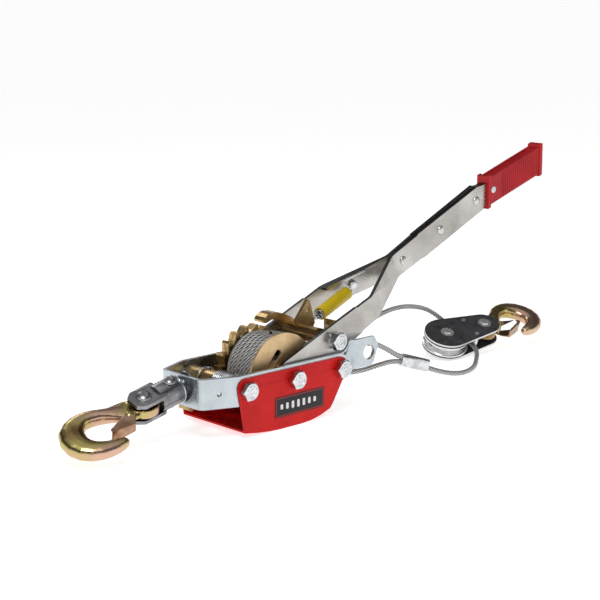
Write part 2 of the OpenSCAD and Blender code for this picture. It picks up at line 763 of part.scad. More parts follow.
// Staked pin with a wide low head and a raised centre.
module block_rivet() {
    translate([0, 0, -cheek_out])
        cylinder(r = 5, h = 2 * cheek_out);
    for (s = [0, 180])
        rotate([s, 0, 0]) {
            translate([0, 0, cheek_out])
                cylinder(r = 7.8, h = 0.9);
            translate([0, 0, cheek_out])
                cylinder(r1 = 4.8, r2 = 3.8, h = 2.2);
        }
}
module sheave_axle() { color(steel) on_block() block_rivet(); }
module block_pin() { color(steel) on_block() translate([block_cc, 0, 0]) block_rivet(); }
module rope_stop(y) {
    translate([32.2, y, -cheek_in])
        cylinder(r = 3.2, h = 2 * cheek_in);
    translate([32.2, y, -cheek_out - 0.8])
        cylinder(r = 2.5, h = 2 * cheek_out + 1.6);
}
module rope_stop_1() { color(zinc) on_block() rope_stop(14); }
module rope_stop_2() { color(zinc) on_block() rope_stop(-14); }
module on_block_hook() {
    on_block()
        translate([block_cc, 0, 0])
            rotate(hook_lie)
                children();
}
module block_hook() { color(chromate) on_block_hook() hook_body(); }
module block_latch() { color(chromate) on_block_hook() latch_body(); }
module block_latch_rivet() { color(chromate) on_block_hook() latch_rivet(); }

// ---------- wire rope ----------
// Route of the free rope: drum, under the pawl bolt, round the sheave, ferrule, eye on the rear spacer.
rope_route = [[2, -8, 86.2], [16.6, -8, 82.6], [38, -8, 72.6], [61, -7.6, 61.8], [80, -5.6, 55], [102, 2.6, 52.4],
              [128, 15, 53.4], [152, 25.4, 55.6], [190, 41.6, 59.6], [223, 51, 63], [246, 55.4, 64.2], [268, 58.6, 63],
              [290, 61.4, 59], [310, 63.6, 52.8], [326, 64.6, 44.6], [336.4, 62, 36.4], [339.6, 53.4, 30],
              [340.4, 43.6, 26.4], [339.4, 33.4, 22.2], [338.4, 22.8, 18], [335.6, 11.6, 13.6], [327.6, 0.6, 9.4],
              [312, -12, 6.2], [295, -24, 4.6], [276, -33, 4.4], [257, -37, 5.4], [240, -35, 8], [225, -28.4, 12.6],
              [213, -22.6, 17.6], [199, -17.4, 22.4], [187, -13.2, 26], [170, -12.4, 28.4], [150, -13.6, 28.4],
              [124, -15.6, 28], [96, -15.8, 30], [76, -15.6, 32.4], [63, -15.6, 34.4], [53.8, -15.6, 38.8],
              [50.6, -15.6, 47], [53.8, -15.6, 55.6], [63, -15.6, 59.4], [78, -15.6, 59.6], [100, -15.4, 58.8],
              [124, -14.8, 57], [146, -13.8, 52], [164, -13, 43.6], [177, -13.4, 36], [188.4, -14.4, 30.8],
              [200, -18.6, 27.4], [210, -22.6, 23.4]];
ring_gap = 1.6;
function mid_point(a, b, c, d, t) =
    0.5 * (2 * b + (c - a) * t + (2 * a - 5 * b + 4 * c - d) * t * t + (3 * b - a - 3 * c + d) * t * t * t);
function route_at(s) =
    let (i = min(floor(s), last(rope_route) - 1), t = s - i)
    mid_point(rope_route[max(i - 1, 0)], rope_route[i], rope_route[i + 1], rope_route[min(i + 2, last(rope_route))], t);
rope_rings = 78;
rope_line = [for (k = [0 : rope_rings - 1]) route_at(k * last(rope_route) / (rope_rings - 1))];
rope_sides = 10;
function line_dir(i) = unit(rope_line[min(i + 1, rope_rings - 1)] - rope_line[max(i - 1, 0)]);
function first_side(d) = unit(cross(d, [0.13, 0.21, 1]));
rope_points = [for (i = [0 : rope_rings - 1])
                  let (d = line_dir(i), a = first_side(d), b = cross(d, a))
                  for (k = [0 : rope_sides - 1])
                      rope_line[i] + rope_r * (a * cos(360 * k / rope_sides) + b * sin(360 * k / rope_sides))];

module rope() {
    color([0.62, 0.63, 0.65])
        polyhedron(rope_points, tube_faces(rope_rings, rope_sides), convexity = 10);
}

// Pressed oval ferrule over both rope strands.
ferrule_a = [186, -13.4, 28.6];
ferrule_b = [216, -24.4, 18.8];
ferrule_len = norm(ferrule_b - ferrule_a);
module ferrule() {
    color(zinc)
        translate(ferrule_a)
            rotate([0, -asin((ferrule_b[2] - ferrule_a[2]) / ferrule_len), atan2(ferrule_b[1] - ferrule_a[1], ferrule_b[0] - ferrule_a[0])])
                rotate([90, 0, 90])
                    linear_extrude(ferrule_len)
                        union() {
                            square([8.4, 5.6], center = true);
                            for (s = [-1, 1])
                                translate([0, s * 2.8])
                                    circle(r = 4.2);
                        }
}

frame();
guard();
label_plate();
front_bolt();
front_nut();
front_spacer();
axle_bolt();
axle_nut();
rear_bolt();
rear_nut();
rear_spacer();
drum();
ratchet_inner();
ratchet_outer();
wound_rope();
holding_pawl();
holding_spring();
handle_arm_near();
handle_arm_far();
handle_rivet_1();
handle_rivet_2();
handle_rivet_3();
grip();
grip_rivet();
drive_pawl();
pawl_bolt();
pawl_nut();
pawl_stop();
tension_spring();
spring_sleeve();
spring_anchor();
clevis_upper();
clevis_lower();
clevis_washer();
clevis_rivet();
hook_pin();
front_hook();
front_latch();
front_latch_rivet();
cheek_top();
cheek_bottom();
sheave();
sheave_axle();
block_pin();
rope_stop_1();
rope_stop_2();
block_hook();
block_latch();
block_latch_rivet();
rope();
ferrule();
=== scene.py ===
"""Come-along winch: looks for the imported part, in metres, in the part's own frame."""

import json
import math

import bmesh
import bpy
from mathutils import Matrix, Vector


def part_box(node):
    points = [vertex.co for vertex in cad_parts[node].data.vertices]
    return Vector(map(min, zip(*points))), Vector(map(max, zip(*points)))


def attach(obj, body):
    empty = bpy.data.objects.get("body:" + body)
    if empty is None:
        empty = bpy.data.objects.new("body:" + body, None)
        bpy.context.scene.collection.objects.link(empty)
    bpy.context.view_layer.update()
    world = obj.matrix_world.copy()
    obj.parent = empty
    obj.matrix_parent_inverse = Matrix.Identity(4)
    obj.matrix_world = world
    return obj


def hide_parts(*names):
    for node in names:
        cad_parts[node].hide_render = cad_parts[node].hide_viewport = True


MM = 0.001
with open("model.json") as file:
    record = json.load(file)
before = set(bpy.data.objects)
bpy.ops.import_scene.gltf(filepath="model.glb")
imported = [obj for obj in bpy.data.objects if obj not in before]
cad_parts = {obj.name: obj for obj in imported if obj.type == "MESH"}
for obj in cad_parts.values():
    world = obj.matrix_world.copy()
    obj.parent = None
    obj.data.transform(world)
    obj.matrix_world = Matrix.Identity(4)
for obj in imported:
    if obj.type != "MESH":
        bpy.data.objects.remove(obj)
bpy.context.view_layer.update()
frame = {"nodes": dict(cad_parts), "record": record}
NODES = frame["nodes"]


# ---------- camera ----------
CAMERA_AT = Vector((-1.0504, -1.1672, 0.4546))
CAMERA_LOOK = Vector((0.67068, 0.71171, -0.20894))
CAMERA_LENS = 97.1
SENSOR_W = 36
CLIP_NEAR, CLIP_FAR = 0.05, 50


def add_camera():
    data = bpy.data.cameras.new("camera")
    data.lens = CAMERA_LENS
    data.sensor_width = SENSOR_W
    data.clip_start = CLIP_NEAR
    data.clip_end = CLIP_FAR
    camera = bpy.data.objects.new("camera", data)
    camera.location = CAMERA_AT
    camera.rotation_euler = CAMERA_LOOK.to_track_quat("-Z", "Y").to_euler()
    bpy.context.scene.collection.objects.link(camera)
    bpy.context.scene.camera = camera


add_camera()
bpy.context.scene.view_settings.view_transform = "Standard"


# ---------- mesh helpers ----------
def link(name, mesh):
    obj = bpy.data.objects.new(name, mesh)
    bpy.context.scene.collection.objects.link(obj)
    return obj


def smooth_faces(mesh):
    for face in mesh.polygons:
        face.use_smooth = True


def spline(points, spacing):
    """Catmull-Rom line through the points, sampled about every `spacing`."""
    line = []
    last = len(points) - 1
    for i in range(last):
        a, b = points[max(i - 1, 0)], points[i]
        c, d = points[i + 1], points[min(i + 2, last)]
        steps = max(int((c - b).length / spacing), 1)
        for k in range(steps):
            t = k / steps
            line.append(
                0.5 * (2 * b + (c - a) * t + (2 * a - 5 * b + 4 * c - d) * t * t
                       + (3 * b - a - 3 * c + d) * t ** 3)
            )
    line.append(points[last])
    return line


def frames_along(line, start_side):
    """Direction and two side vectors at each point, turning as little as possible."""
    frames = []
    side = start_side
    for i, point in enumerate(line):
        ahead = line[min(i + 1, len(line) - 1)] - line[max(i - 1, 0)]
        ahead.normalize()
        side = (side - ahead * side.dot(ahead)).normalized()
        frames.append((point, side, ahead.cross(side)))
    return frames


UV_LENGTH = 20 * MM  # length of tube that one unit of U covers


def sweep(name, line, radius_at, sides, start_side=Vector((0.13, 0.21, 1))):
    """Tube whose radius may change with the distance along and the angle around."""
    bm = bmesh.new()
    uv_layer = bm.loops.layers.uv.new("UVMap")
    crown = bm.verts.layers.float.new("crown")
    biggest = max(radius_at(0, 2 * math.pi * k / 360) for k in range(360))
    smallest = min(radius_at(0, 2 * math.pi * k / 360) for k in range(360))
    rings = []
    along = 0
    distances = []
    for i, (point, side, up) in enumerate(frames_along(line, start_side)):
        if i:
            along += (line[i] - line[i - 1]).length
        distances.append(along)
        ring = []
        for k in range(sides):
            angle = 2 * math.pi * k / sides
            radius = radius_at(along, angle)
            vert = bm.verts.new(point + radius * (side * math.cos(angle) + up * math.sin(angle)))
            vert[crown] = (radius - smallest) / max(biggest - smallest, 1e-9)
            ring.append(vert)
        rings.append(ring)
    for i in range(len(rings) - 1):
        for k in range(sides):
            n = (k + 1) % sides
            face = bm.faces.new((rings[i][k], rings[i][n], rings[i + 1][n], rings[i + 1][k]))
            face.smooth = True
            ends = ((i, k), (i, k + 1), (i + 1, k + 1), (i + 1, k))
            for loop, (row, turn) in zip(face.loops, ends):
                loop[uv_layer].uv = (distances[row] / UV_LENGTH, turn / sides)
    bm.faces.new(list(reversed(rings[0])))
    bm.faces.new(rings[-1])
    mesh = bpy.data.meshes.new(name)
    bm.to_mesh(mesh)
    bm.free()
    return link(name, mesh)


def wire(name, line, radius, sides=10):
    return sweep(name, line, lambda along, angle: radius, sides)


def helix(centre, axis, side, radius, pitch, turns, per_turn):
    """Points of a coil: centre is where its axis begins."""
    up = axis.cross(side)
    return [
        centre + axis * (pitch * k / per_turn)
        + radius * (side * math.cos(2 * math.pi * k / per_turn) + up * math.sin(2 * math.pi * k / per_turn))
        for k in range(int(turns * per_turn) + 1)
    ]


# ---------- rope ----------
ROPE_D = 5 * MM
STRANDS = 6
LAY = 30 * MM
CREST_D = 5.7 * MM       # over the crests of the strands
GROOVE_SHARE = 0.60      # groove radius over crest radius
GROOVE_POWER = 0.6       # below 1 makes narrow grooves between round crests
ROPE_SIDES = 36
ROUTE_STEP = 0.9 * MM
COIL_RISE = 2.2 * MM     # how much prouder than the CAD the wound rope stands
COIL_TURNS = 6.3
COIL_STEPS = 200
SIDE_SHADE, SHADE_GAIN = 0.5, 1.7  # darkening between neighbouring turns


def rope_radius(along, angle):
    """Outline of a six-strand rope: lobes that turn with the lay."""
    phase = STRANDS * (angle - 2 * math.pi * along / LAY)
    return CREST_D / 2 * (GROOVE_SHARE + (1 - GROOVE_SHARE) * abs(math.cos(phase / 2)) ** GROOVE_POWER)


ROPE_ROUTE_MM = [
    (2, -8, 86.2), (16.6, -8, 82.6), (38, -8, 72.6), (61, -7.6, 61.8), (80, -5.6, 55), (102, 2.6, 52.4),
    (128, 15, 53.4), (152, 25.4, 55.6), (190, 41.6, 59.6), (223, 51, 63), (246, 55.4, 64.2),
    (268, 58.6, 63), (290, 61.4, 59), (310, 63.6, 52.8), (326, 64.6, 44.6), (336.4, 62, 36.4),
    (339.6, 53.4, 30), (340.4, 43.6, 26.4), (339.4, 33.4, 22.2), (338.4, 22.8, 18), (335.6, 11.6, 13.6),
    (327.6, 0.6, 9.4), (312, -12, 6.2), (295, -24, 4.6), (276, -33, 4.4), (257, -37, 5.4), (240, -35, 8),
    (225, -28.4, 12.6), (213, -22.6, 17.6), (199, -17.4, 22.4), (187, -13.2, 26), (170, -12.4, 28.4),
    (150, -13.6, 28.4), (124, -15.6, 28), (96, -15.8, 30), (76, -15.6, 32.4), (63, -15.6, 34.4),
    (53.8, -15.6, 38.8), (50.6, -15.6, 47), (53.8, -15.6, 55.6), (63, -15.6, 59.4), (78, -15.6, 59.6),
    (100, -15.4, 58.8), (124, -14.8, 57), (146, -13.8, 52), (164, -13, 43.6), (177, -13.4, 36),
    (188.4, -14.4, 30.8), (200, -18.6, 27.4), (210, -22.6, 23.4),
]


def free_rope():
    route = [Vector(p) * MM for p in ROPE_ROUTE_MM]
    line = spline(route, ROUTE_STEP)
    rope = sweep("rope_laid", line, rope_radius, ROPE_SIDES)
    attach(rope, "winch_frame")
    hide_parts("rope")
    return rope


def wound_rope():
    """Turns laid side by side on the drum, crest against crest."""
    low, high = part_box("wound_rope")
    centre = Vector((0, low[1] + CREST_D / 2, (low[2] + high[2]) / 2))
    radius = (high[2] - low[2]) / 2 - ROPE_D / 2 + COIL_RISE
    pitch = (high[1] - low[1] - CREST_D) / COIL_TURNS
    line = helix(centre, Vector((0, 1, 0)), Vector((0, 0, 1)), radius, pitch, COIL_TURNS, COIL_STEPS)
    coil = sweep("rope_wound", line, rope_radius, ROPE_SIDES, Vector((1, 0, 0)))
    crown = coil.data.attributes["crown"]
    # painted shade and grease: the crest value is lowered on the sides of each turn, where the turns touch
    for vert, value in zip(coil.data.vertices, crown.data):
        outward = math.hypot(vert.co.x - centre.x, vert.co.z - centre.z) - radius
        value.value *= min(1, max(0, SIDE_SHADE + SHADE_GAIN * outward / CREST_D))
    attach(coil, "drum_body")
    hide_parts("wound_rope")
    return coil


rope = free_rope()
wound = wound_rope()


# ---------- materials ----------
def new_material(name):
    material = bpy.data.materials.new(name)
    material.use_nodes = True
    nodes = material.node_tree.nodes
    return material, nodes, material.node_tree.links, nodes["Principled BSDF"]


def noise(nodes, links, scale, detail=4.0, stretch=(1, 1, 1), turn=(0, 0, 0)):
    """Noise in the part's own coordinates, stretched to make grain."""
    coords = nodes.new("ShaderNodeTexCoord")
    mapping = nodes.new("ShaderNodeMapping")
    mapping.inputs["Rotation"].default_value = turn
    mapping.inputs["Scale"].default_value = stretch
    texture = nodes.new("ShaderNodeTexNoise")
    texture.inputs["Scale"].default_value = scale
    texture.inputs["Detail"].default_value = detail
    links.new(coords.outputs["Object"], mapping.inputs["Vector"])
    links.new(mapping.outputs["Vector"], texture.inputs["Vector"])
    return texture.outputs["Fac"]


def ramp(nodes, links, source, stops):
    node = nodes.new("ShaderNodeValToRGB")
    elements = node.color_ramp.elements
    while len(elements) < len(stops):
        elements.new(0.5)
    for element, (place, color) in zip(elements, stops):
        element.position = place
        element.color = (*color, 1)
    links.new(source, node.inputs["Fac"])
    return node.outputs["Color"]


def remap(nodes, links, source, low, high, from_low=0.3, from_high=0.7):
    node = nodes.new("ShaderNodeMapRange")
    node.inputs["From Min"].default_value = from_low
    node.inputs["From Max"].default_value = from_high
    node.inputs["To Min"].default_value = low
    node.inputs["To Max"].default_value = high
    links.new(source, node.inputs["Value"])
    return node.outputs["Result"]


def bump(nodes, links, bsdf, height, strength, distance):
    node = nodes.new("ShaderNodeBump")
    node.inputs["Strength"].default_value = strength
    node.inputs["Distance"].default_value = distance
    links.new(height, node.inputs["Height"])
    links.new(node.outputs["Normal"], bsdf.inputs["Normal"])


def mixed(nodes, links, factor, a, b):
    node = nodes.new("ShaderNodeMix")
    node.data_type = "RGBA"
    links.new(factor, node.inputs["Factor"])
    for socket, value in ((node.inputs[6], a), (node.inputs[7], b)):
        if isinstance(value, tuple):
            socket.default_value = (*value, 1)
        else:
            links.new(value, socket)
    return node.outputs[2]


def edge_mask(nodes, links, radius):
    """1 along sharp edges, 0 on flats."""
    bevel = nodes.new("ShaderNodeBevel")
    bevel.samples = 4
    bevel.inputs["Radius"].default_value = radius
    geometry = nodes.new("ShaderNodeNewGeometry")
    dot = nodes.new("ShaderNodeVectorMath")
    dot.operation = "DOT_PRODUCT"
    links.new(bevel.outputs["Normal"], dot.inputs[0])
    links.new(geometry.outputs["Normal"], dot.inputs[1])
    return remap(nodes, links, dot.outputs["Value"], 1.0, 0.0, 0.80, 0.99)


def plated(name, colors, rough, grain=(1, 1, 1), turn=(0, 0, 0), blotch=55, fine=900, relief=0.06):
    """Plated or bare metal: blotchy tint, uneven gloss and a fine worn surface.

    colors are (noise level, colour) stops, rough the range of the roughness.
    """
    material, nodes, links, bsdf = new_material(name)
    tint = noise(nodes, links, blotch, 5)
    links.new(ramp(nodes, links, tint, colors), bsdf.inputs["Base Color"])
    bsdf.inputs["Metallic"].default_value = 1
    fine_noise = noise(nodes, links, fine, 3, grain, turn)
    links.new(remap(nodes, links, fine_noise, rough[0], rough[1]), bsdf.inputs["Roughness"])
    bump(nodes, links, bsdf, fine_noise, relief, 0.2 * MM)
    return material


HANDLE_TURN = (0, math.radians(24), 0)
ZINC = plated(
    "zinc", [(0.30, (0.44, 0.49, 0.52)), (0.5, (0.49, 0.54, 0.57)), (0.7, (0.54, 0.59, 0.62))], (0.22, 0.38),
    relief=0.03)
FASTENER = plated(
    "fastener_zinc", [(0.3, (0.42, 0.44, 0.46)), (0.6, (0.68, 0.70, 0.72))], (0.14, 0.28), blotch=160,
    relief=0.03)
CLEVIS_RIVET = plated(
    "clevis_rivet_steel", [(0.3, (0.14, 0.14, 0.15)), (0.6, (0.40, 0.40, 0.41))], (0.22, 0.40), blotch=260)


def rim_mask(nodes, links, thin_axis):
    """1 on the cut edges of a plate lying across the given axis, 0 on its faces."""
    coords = nodes.new("ShaderNodeTexCoord")
    split = nodes.new("ShaderNodeSeparateXYZ")
    facing = nodes.new("ShaderNodeMath")
    facing.operation = "ABSOLUTE"
    links.new(coords.outputs["Normal"], split.inputs["Vector"])
    links.new(split.outputs[thin_axis], facing.inputs[0])
    return remap(nodes, links, facing.outputs[0], 1, 0, 0.45, 0.75)


def arm_metal():
    """Rolled strip: brushed grey faces, with painted shade making the cut edges near-black."""
    tones = [(0.3, (0.36, 0.34, 0.32)), (0.5, (0.47, 0.45, 0.43)), (0.7, (0.58, 0.56, 0.53))]
    material = plated("arm_steel", tones, (0.22, 0.42), grain=(0.06, 1, 1), turn=HANDLE_TURN,
                      blotch=28, fine=1100, relief=0.10)
    nodes, links = material.node_tree.nodes, material.node_tree.links
    bsdf = nodes["Principled BSDF"]
    face_color = bsdf.inputs["Base Color"].links[0].from_socket
    cut = rim_mask(nodes, links, "Y")
    # painted shade: the cut edges, found by their normals, are made near-black
    links.new(mixed(nodes, links, cut, face_color, (0.045, 0.045, 0.05)), bsdf.inputs["Base Color"])
    return material


ARM_STEEL = arm_metal()
RIVET = plated("rivet_steel", [(0.3, (0.50, 0.50, 0.49)), (0.7, (0.74, 0.73, 0.71))], (0.18, 0.38), blotch=200)
FLANGE_GOLD = plated(
    "flange_gold", [(0.3, (0.60, 0.42, 0.22)), (0.6, (0.74, 0.55, 0.31))], (0.40, 0.56), blotch=90,
    fine=700, relief=0.12)
LATCH_GOLD = plated(
    "latch_gold", [(0.3, (0.20, 0.11, 0.06)), (0.5, (0.36, 0.21, 0.13)), (0.7, (0.58, 0.38, 0.28))],
    (0.12, 0.22), blotch=60)
GOLD = plated(
    "gold_zinc",
    [(0.28, (0.30, 0.18, 0.07)), (0.45, (0.50, 0.34, 0.15)),
     (0.6, (0.66, 0.47, 0.23)), (0.75, (0.74, 0.57, 0.32))],
    (0.24, 0.42), blotch=42)
HOOK = plated(
    "hook_zinc",
    [(0.30, (0.16, 0.09, 0.04)), (0.38, (0.36, 0.24, 0.10)), (0.45, (0.50, 0.42, 0.15)),
     (0.53, (0.56, 0.40, 0.23)), (0.61, (0.64, 0.40, 0.31)), (0.72, (0.66, 0.55, 0.33))],
    (0.18, 0.32), blotch=20, fine=420, relief=0.015)
DARK = plated(
    "dark_steel", [(0.3, (0.16, 0.16, 0.17)), (0.6, (0.32, 0.32, 0.34)), (0.75, (0.46, 0.46, 0.48))],
    (0.18, 0.38), blotch=60)
SHEAVE = plated("sheave_zinc", [(0.3, (0.60, 0.60, 0.60)), (0.7, (0.82, 0.82, 0.81))], (0.20, 0.36), blotch=90)


def cheek_metal():
    """Graphite-coated cheek plate with bare bright edges."""
    material, nodes, links, bsdf = new_material("cheek_graphite")
    tones = [(0.3, (0.045, 0.046, 0.05)), (0.7, (0.10, 0.10, 0.108))]
    tint = ramp(nodes, links, noise(nodes, links, 120, 6), tones)
    edges = rim_mask(nodes, links, "Z")
    links.new(mixed(nodes, links, edges, tint, (0.70, 0.70, 0.70)), bsdf.inputs["Base Color"])
    links.new(remap(nodes, links, edges, 0.55, 1.0, 0, 1), bsdf.inputs["Metallic"])
    grain = noise(nodes, links, 1400, 3)
    links.new(remap(nodes, links, grain, 0.38, 0.58), bsdf.inputs["Roughness"])
    bump(nodes, links, bsdf, grain, 0.12, 0.2 * MM)
    return material


def paint():
    """Glossy red powder coat: orange peel, slight tone change, thin worn edges."""
    material, nodes, links, bsdf = new_material("guard_red")
    tones = [(0.3, (0.50, 0.004, 0.005)), (0.7, (0.64, 0.008, 0.007))]
    tone = ramp(nodes, links, noise(nodes, links, 18, 4), tones)
    edges = edge_mask(nodes, links, 0.5 * MM)
    chips = remap(nodes, links, noise(nodes, links, 500, 4), 0, 1, 0.58, 0.66)
    worn = nodes.new("ShaderNodeMath")
    worn.operation = "MULTIPLY"
    links.new(edges, worn.inputs[0])
    links.new(chips, worn.inputs[1])
    links.new(mixed(nodes, links, worn.outputs[0], tone, (0.30, 0.02, 0.02)), bsdf.inputs["Base Color"])
    peel = noise(nodes, links, 650, 2)
    links.new(remap(nodes, links, noise(nodes, links, 90, 5), 0.20, 0.34), bsdf.inputs["Roughness"])
    bsdf.inputs["Specular IOR Level"].default_value = 0.18
    bump(nodes, links, bsdf, peel, 0.10, 0.15 * MM)
    return material


def plastic(name, dark, light, rough, relief=0.10):
    """Moulded plastic: slight tone change, fine grain, a little light let in."""
    material, nodes, links, bsdf = new_material(name)
    tone = ramp(nodes, links, noise(nodes, links, 35, 4), [(0.3, dark), (0.7, light)])
    links.new(tone, bsdf.inputs["Base Color"])
    grain = noise(nodes, links, 1600, 3)
    links.new(remap(nodes, links, grain, rough[0], rough[1]), bsdf.inputs["Roughness"])
    bsdf.inputs["Specular IOR Level"].default_value = 0.3
    bsdf.inputs["Subsurface Weight"].default_value = 0.04
    bsdf.inputs["Subsurface Radius"].default_value = (0.002, 0.001, 0.001)
    bump(nodes, links, bsdf, grain, relief, 0.15 * MM)
    return material


def strand_metal():
    """Galvanised wires: bright crowns with fine wires along them, dark grease and painted shade in the gaps.
    """
    material, nodes, links, bsdf = new_material("rope_steel")
    uv = nodes.new("ShaderNodeTexCoord")
    mapping = nodes.new("ShaderNodeMapping")
    mapping.inputs["Scale"].default_value = (1.6, 1, 1)
    mapping.inputs["Rotation"].default_value = (0, 0, math.radians(58))
    wires = nodes.new("ShaderNodeTexWave")
    wires.inputs["Scale"].default_value = 9
    wires.inputs["Distortion"].default_value = 0.6
    links.new(uv.outputs["UV"], mapping.inputs["Vector"])
    links.new(mapping.outputs["Vector"], wires.inputs["Vector"])
    crown = nodes.new("ShaderNodeAttribute")
    crown.attribute_name = "crown"
    raised = remap(nodes, links, crown.outputs["Fac"], 0, 1, 0.60, 0.88)
    tones = [(0.3, (0.66, 0.65, 0.63)), (0.7, (0.92, 0.91, 0.89))]
    tint = ramp(nodes, links, noise(nodes, links, 260, 4), tones)
    wire_tint = mixed(nodes, links, wires.outputs["Fac"], (0.66, 0.65, 0.64), tint)
    # near-black in the grooves between strands and turns: grease and painted shade
    links.new(mixed(nodes, links, raised, (0.012, 0.011, 0.010), wire_tint), bsdf.inputs["Base Color"])
    bsdf.inputs["Metallic"].default_value = 0.6
    links.new(remap(nodes, links, raised, 0.60, 0.24, 0, 1), bsdf.inputs["Roughness"])
    bump(nodes, links, bsdf, wires.outputs["Fac"], 0.5, 0.25 * MM)
    return material


CHEEK = cheek_metal()
PAINT = paint()
GRIP = plastic("grip_red", (0.36, 0.003, 0.008), (0.48, 0.006, 0.012), (0.30, 0.46))
SLEEVE = plastic("sleeve_yellow", (0.66, 0.46, 0.004), (0.80, 0.60, 0.01), (0.24, 0.36), 0.05)
LABEL = plastic("label_black", (0.008, 0.008, 0.008), (0.016, 0.016, 0.017), (0.24, 0.34), 0.02)
LABEL_RED = plastic("label_red", (0.5, 0.01, 0.012), (0.6, 0.015, 0.018), (0.26, 0.36), 0.02)
LABEL_WHITE = plastic("label_white", (0.70, 0.70, 0.70), (0.82, 0.82, 0.82), (0.28, 0.38), 0.02)
STRANDS_METAL = strand_metal()

SLOT_MATERIALS = {
    "frame_zinc": ZINC, "fastener_zinc": FASTENER, "arm_steel": ARM_STEEL, "rivet_steel": RIVET,
    "gold_zinc": GOLD, "hook_zinc": HOOK, "dark_steel": DARK, "guard_red": PAINT, "grip_red": GRIP,
    "label_black": LABEL, "rope_steel": STRANDS_METAL, "sleeve_yellow": SLEEVE,
}
NODE_MATERIALS = {"cheek_top": CHEEK, "cheek_bottom": CHEEK, "sheave": SHEAVE, "drum": FLANGE_GOLD,
                  "clevis_rivet": CLEVIS_RIVET, "hook_pin": CLEVIS_RIVET}


def dress(obj, material):
    obj.data.materials.clear()
    obj.data.materials.append(material)


for piece in (rope, wound):
    dress(piece, STRANDS_METAL)


# ---------- CAD nodes: soft edges and finishes ----------
OTHER_BEVEL_MM = 0.35
BEVEL_ANGLE = math.radians(28)
BEVELS_MM = {"guard": 0.5, "frame": 0.7, "grip": 0.8, "handle_arm_near": 0.6, "handle_arm_far": 0.6,
             "holding_pawl": 0.7, "drive_pawl": 0.8, "ratchet_inner": 0.4, "ratchet_outer": 0.4,
             "clevis_upper": 0.6, "clevis_lower": 0.6, "label_plate": 0.1, "ferrule": 0.8}


def soften(obj, width):
    weld = obj.modifiers.new("weld", "WELD")
    weld.merge_threshold = 0.01 * MM
    bevel = obj.modifiers.new("bevel", "BEVEL")
    bevel.width = width
    bevel.segments = 2
    bevel.limit_method = "ANGLE"
    bevel.angle_limit = BEVEL_ANGLE
    bevel.harden_normals = False
    bevel.use_clamp_overlap = True


def finish_nodes():
    slots = {row["node"]: row["material_slot"] for row in frame["record"]["subparts"]}
    for name, obj in NODES.items():
        material = NODE_MATERIALS.get(name, SLOT_MATERIALS[slots[name]])
        for slot in obj.material_slots:
            slot.link = "OBJECT"
            slot.material = material
        soften(obj, BEVELS_MM.get(name, OTHER_BEVEL_MM) * MM)


finish_nodes()


# ---------- forged hooks ----------
def forged(name, node, body, slot, voxel, rounds, material=None):
    """Copy of a CAD node, remeshed fine and smoothed like a forging."""
    source = NODES[node]
    mesh = source.data.copy()
    mesh.materials.clear()
    obj = link(name, mesh)
    remesh = obj.modifiers.new("remesh", "REMESH")
    remesh.mode = "VOXEL"
    remesh.voxel_size = voxel
    smoothing = obj.modifiers.new("smooth", "SMOOTH")
    smoothing.factor = 0.5
    smoothing.iterations = rounds
    depsgraph = bpy.context.evaluated_depsgraph_get()
    baked = bpy.data.meshes.new_from_object(obj.evaluated_get(depsgraph))
    obj.modifiers.clear()
    obj.data = baked
    smooth_faces(baked)
    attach(obj, body)
    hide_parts(node)
    dress(obj, material or SLOT_MATERIALS[slot])
    return obj


forged("front_hook_forged", "front_hook", "front_hook_body", "hook_zinc", 0.8 * MM, 9)
forged("block_hook_forged", "block_hook", "block_hook_body", "hook_zinc", 0.7 * MM, 14)
forged("front_latch_pressed", "front_latch", "front_latch_body", "hook_zinc", 0.35 * MM, 4, LATCH_GOLD)
forged("block_latch_pressed", "block_latch", "block_latch_body", "hook_zinc", 0.35 * MM, 4, LATCH_GOLD)


# ---------- springs ----------
TORSION_COILS = (("holding_coil_near", -29.8 * MM, -4.4 * MM), ("holding_coil_far", 11.8 * MM, 16.4 * MM))
TORSION_PITCH = 2.3 * MM
TORSION_WIRE_R = 1.0 * MM
TORSION_ROOM = 1.1 * MM  # kept free round the wire's centreline


def torsion_springs():
    """Two coils of the holding pawl's spring round the front spacer."""
    low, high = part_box("holding_spring")
    centre_x, centre_z = (low[0] + high[0]) / 2, (low[2] + high[2]) / 2
    radius = (high[2] - low[2]) / 2 - TORSION_ROOM
    for name, start, end in TORSION_COILS:
        turns = (end - start - 2 * TORSION_ROOM) / TORSION_PITCH
        line = helix(Vector((centre_x, start + TORSION_ROOM, centre_z)), Vector((0, 1, 0)), Vector((0, 0, 1)),
                     radius, TORSION_PITCH, turns, 36)
        coil = wire(name, line, TORSION_WIRE_R)
        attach(coil, "winch_frame")
        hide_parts("holding_spring")
        dress(coil, FASTENER)


torsion_springs()


END_SHARE = 0.08  # share of the length taken as one end


def long_axis(node):
    """Centres of the two ends of a long round node."""
    verts = [v.co.copy() for v in NODES[node].data.vertices]
    low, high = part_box(node)
    direction = (Vector(high) - Vector(low)).normalized()
    ends = []
    for _ in range(4):
        reach = [v.dot(direction) for v in verts]
        first, last = min(reach), max(reach)
        near = [v for v, r in zip(verts, reach) if r < first + END_SHARE * (last - first)]
        far = [v for v, r in zip(verts, reach) if r > last - END_SHARE * (last - first)]
        ends = [sum(near, Vector()) / len(near), sum(far, Vector()) / len(far)]
        direction = (ends[1] - ends[0]).normalized()
    return ends[0], ends[1]


TENSION_R = 4.3 * MM
TENSION_WIRE_R = 0.7 * MM
TENSION_PITCH = 1.6 * MM
TENSION_ENDS = 7.5 * MM   # length of each hook
HOOK_R = 3.2 * MM
HOOK_CENTRE = 3.4 * MM    # from the last coil to the hook's centre
HOOK_NECK = 1.2 * MM


